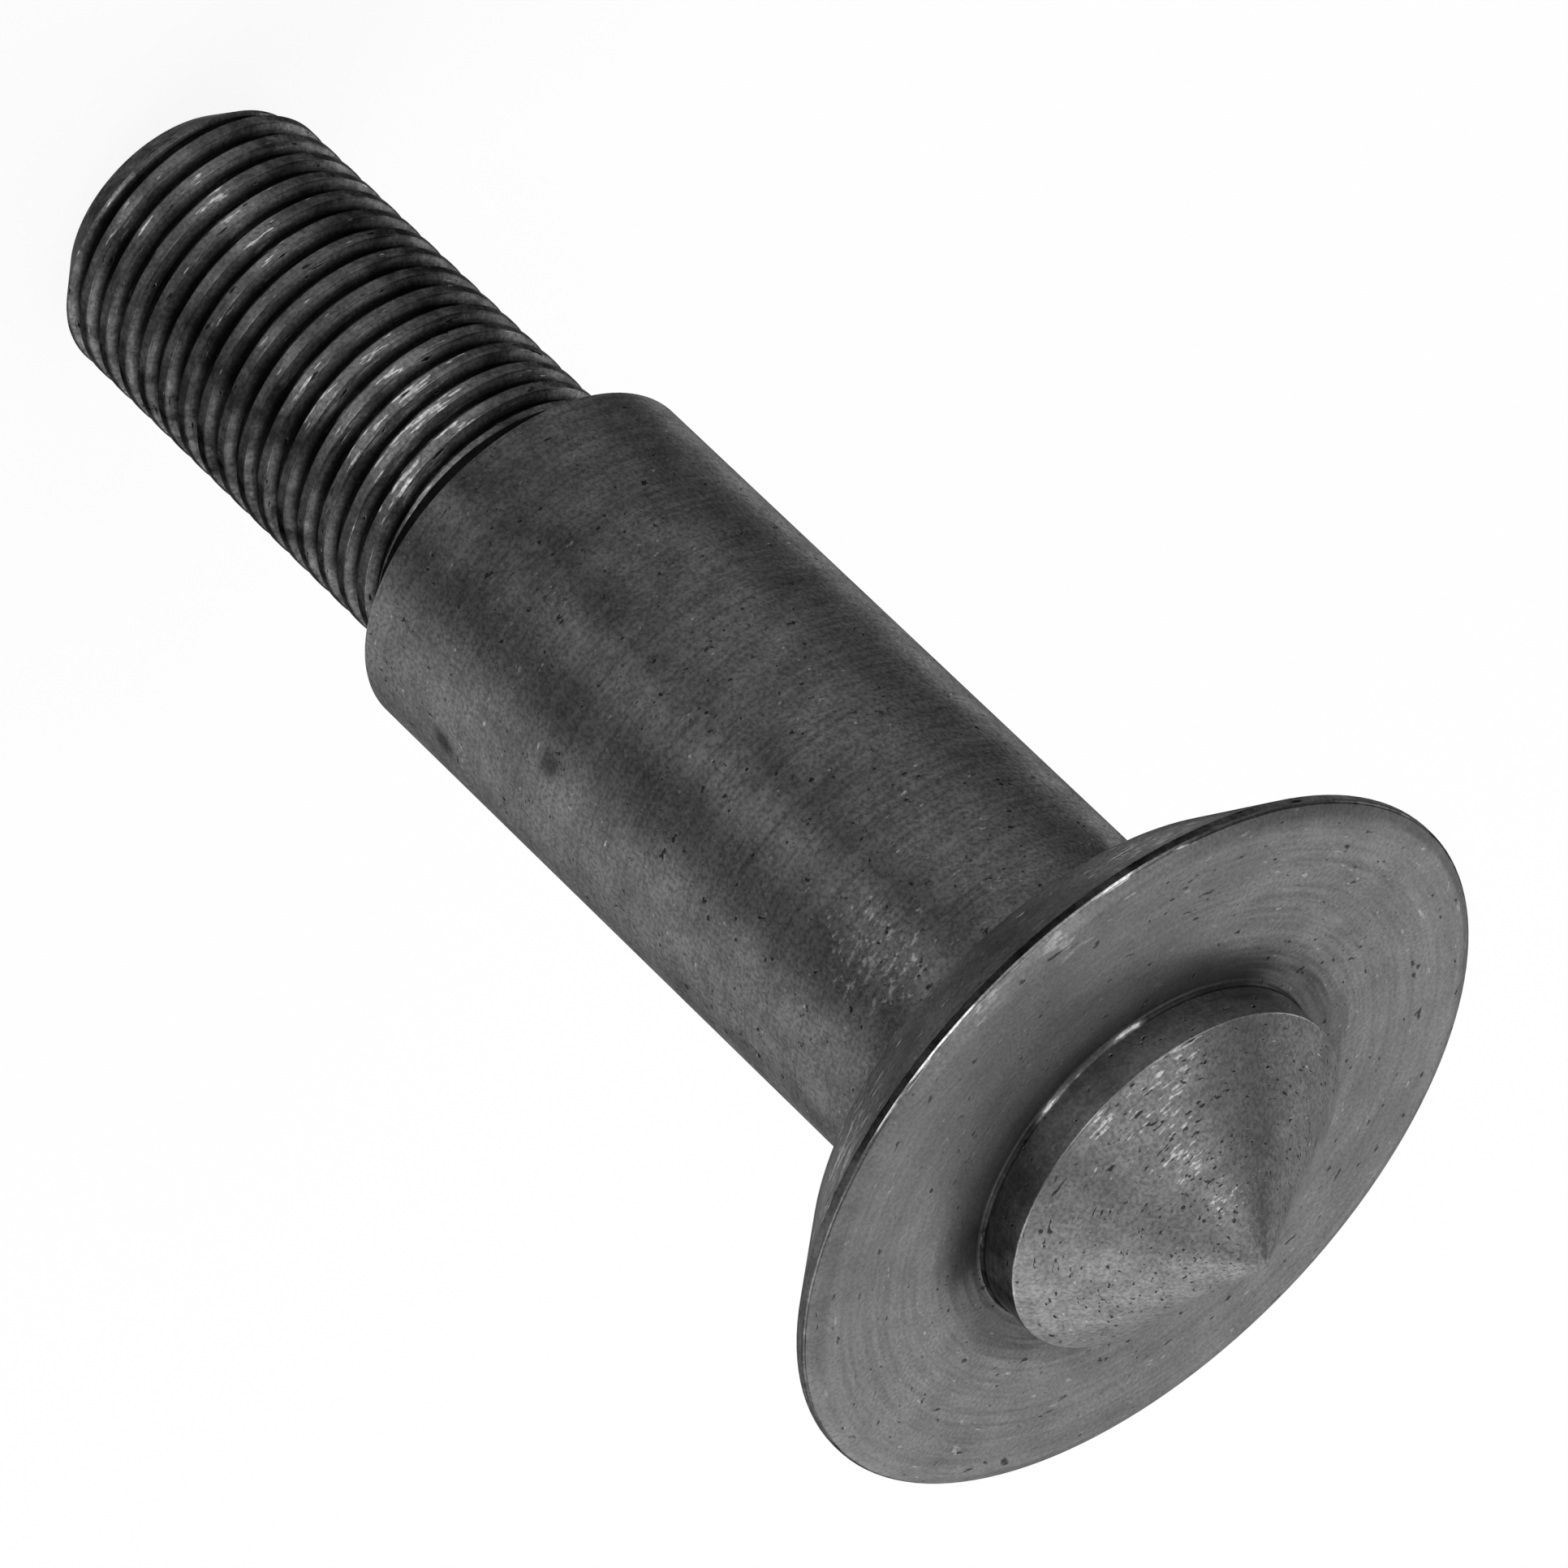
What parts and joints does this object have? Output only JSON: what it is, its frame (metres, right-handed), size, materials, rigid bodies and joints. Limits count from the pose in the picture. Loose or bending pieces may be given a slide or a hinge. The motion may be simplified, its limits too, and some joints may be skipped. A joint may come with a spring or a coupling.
{
  "type": "shock mount stud",
  "caption": "Turned steel weld-on stud with a coned nose, a thin flange, a plain shank for a damper bush and a fine-threaded end for its nut.",
  "frame": {"origin": "centre of the flat end face of the threaded end, on which the stud stands", "axes": "+Z along the stud's axis, from the threaded end up to the tip of the nose; +X and +Y are any two directions across it"},
  "size_m": [0.0318, 0.0318, 0.0678],
  "materials": {
    "turned_steel": "bare turned steel, dull, with fine turning marks and small pits"
  },
  "bodies": {
    "root": {"stud": "turned_steel"}
  },
  "joints": []
}
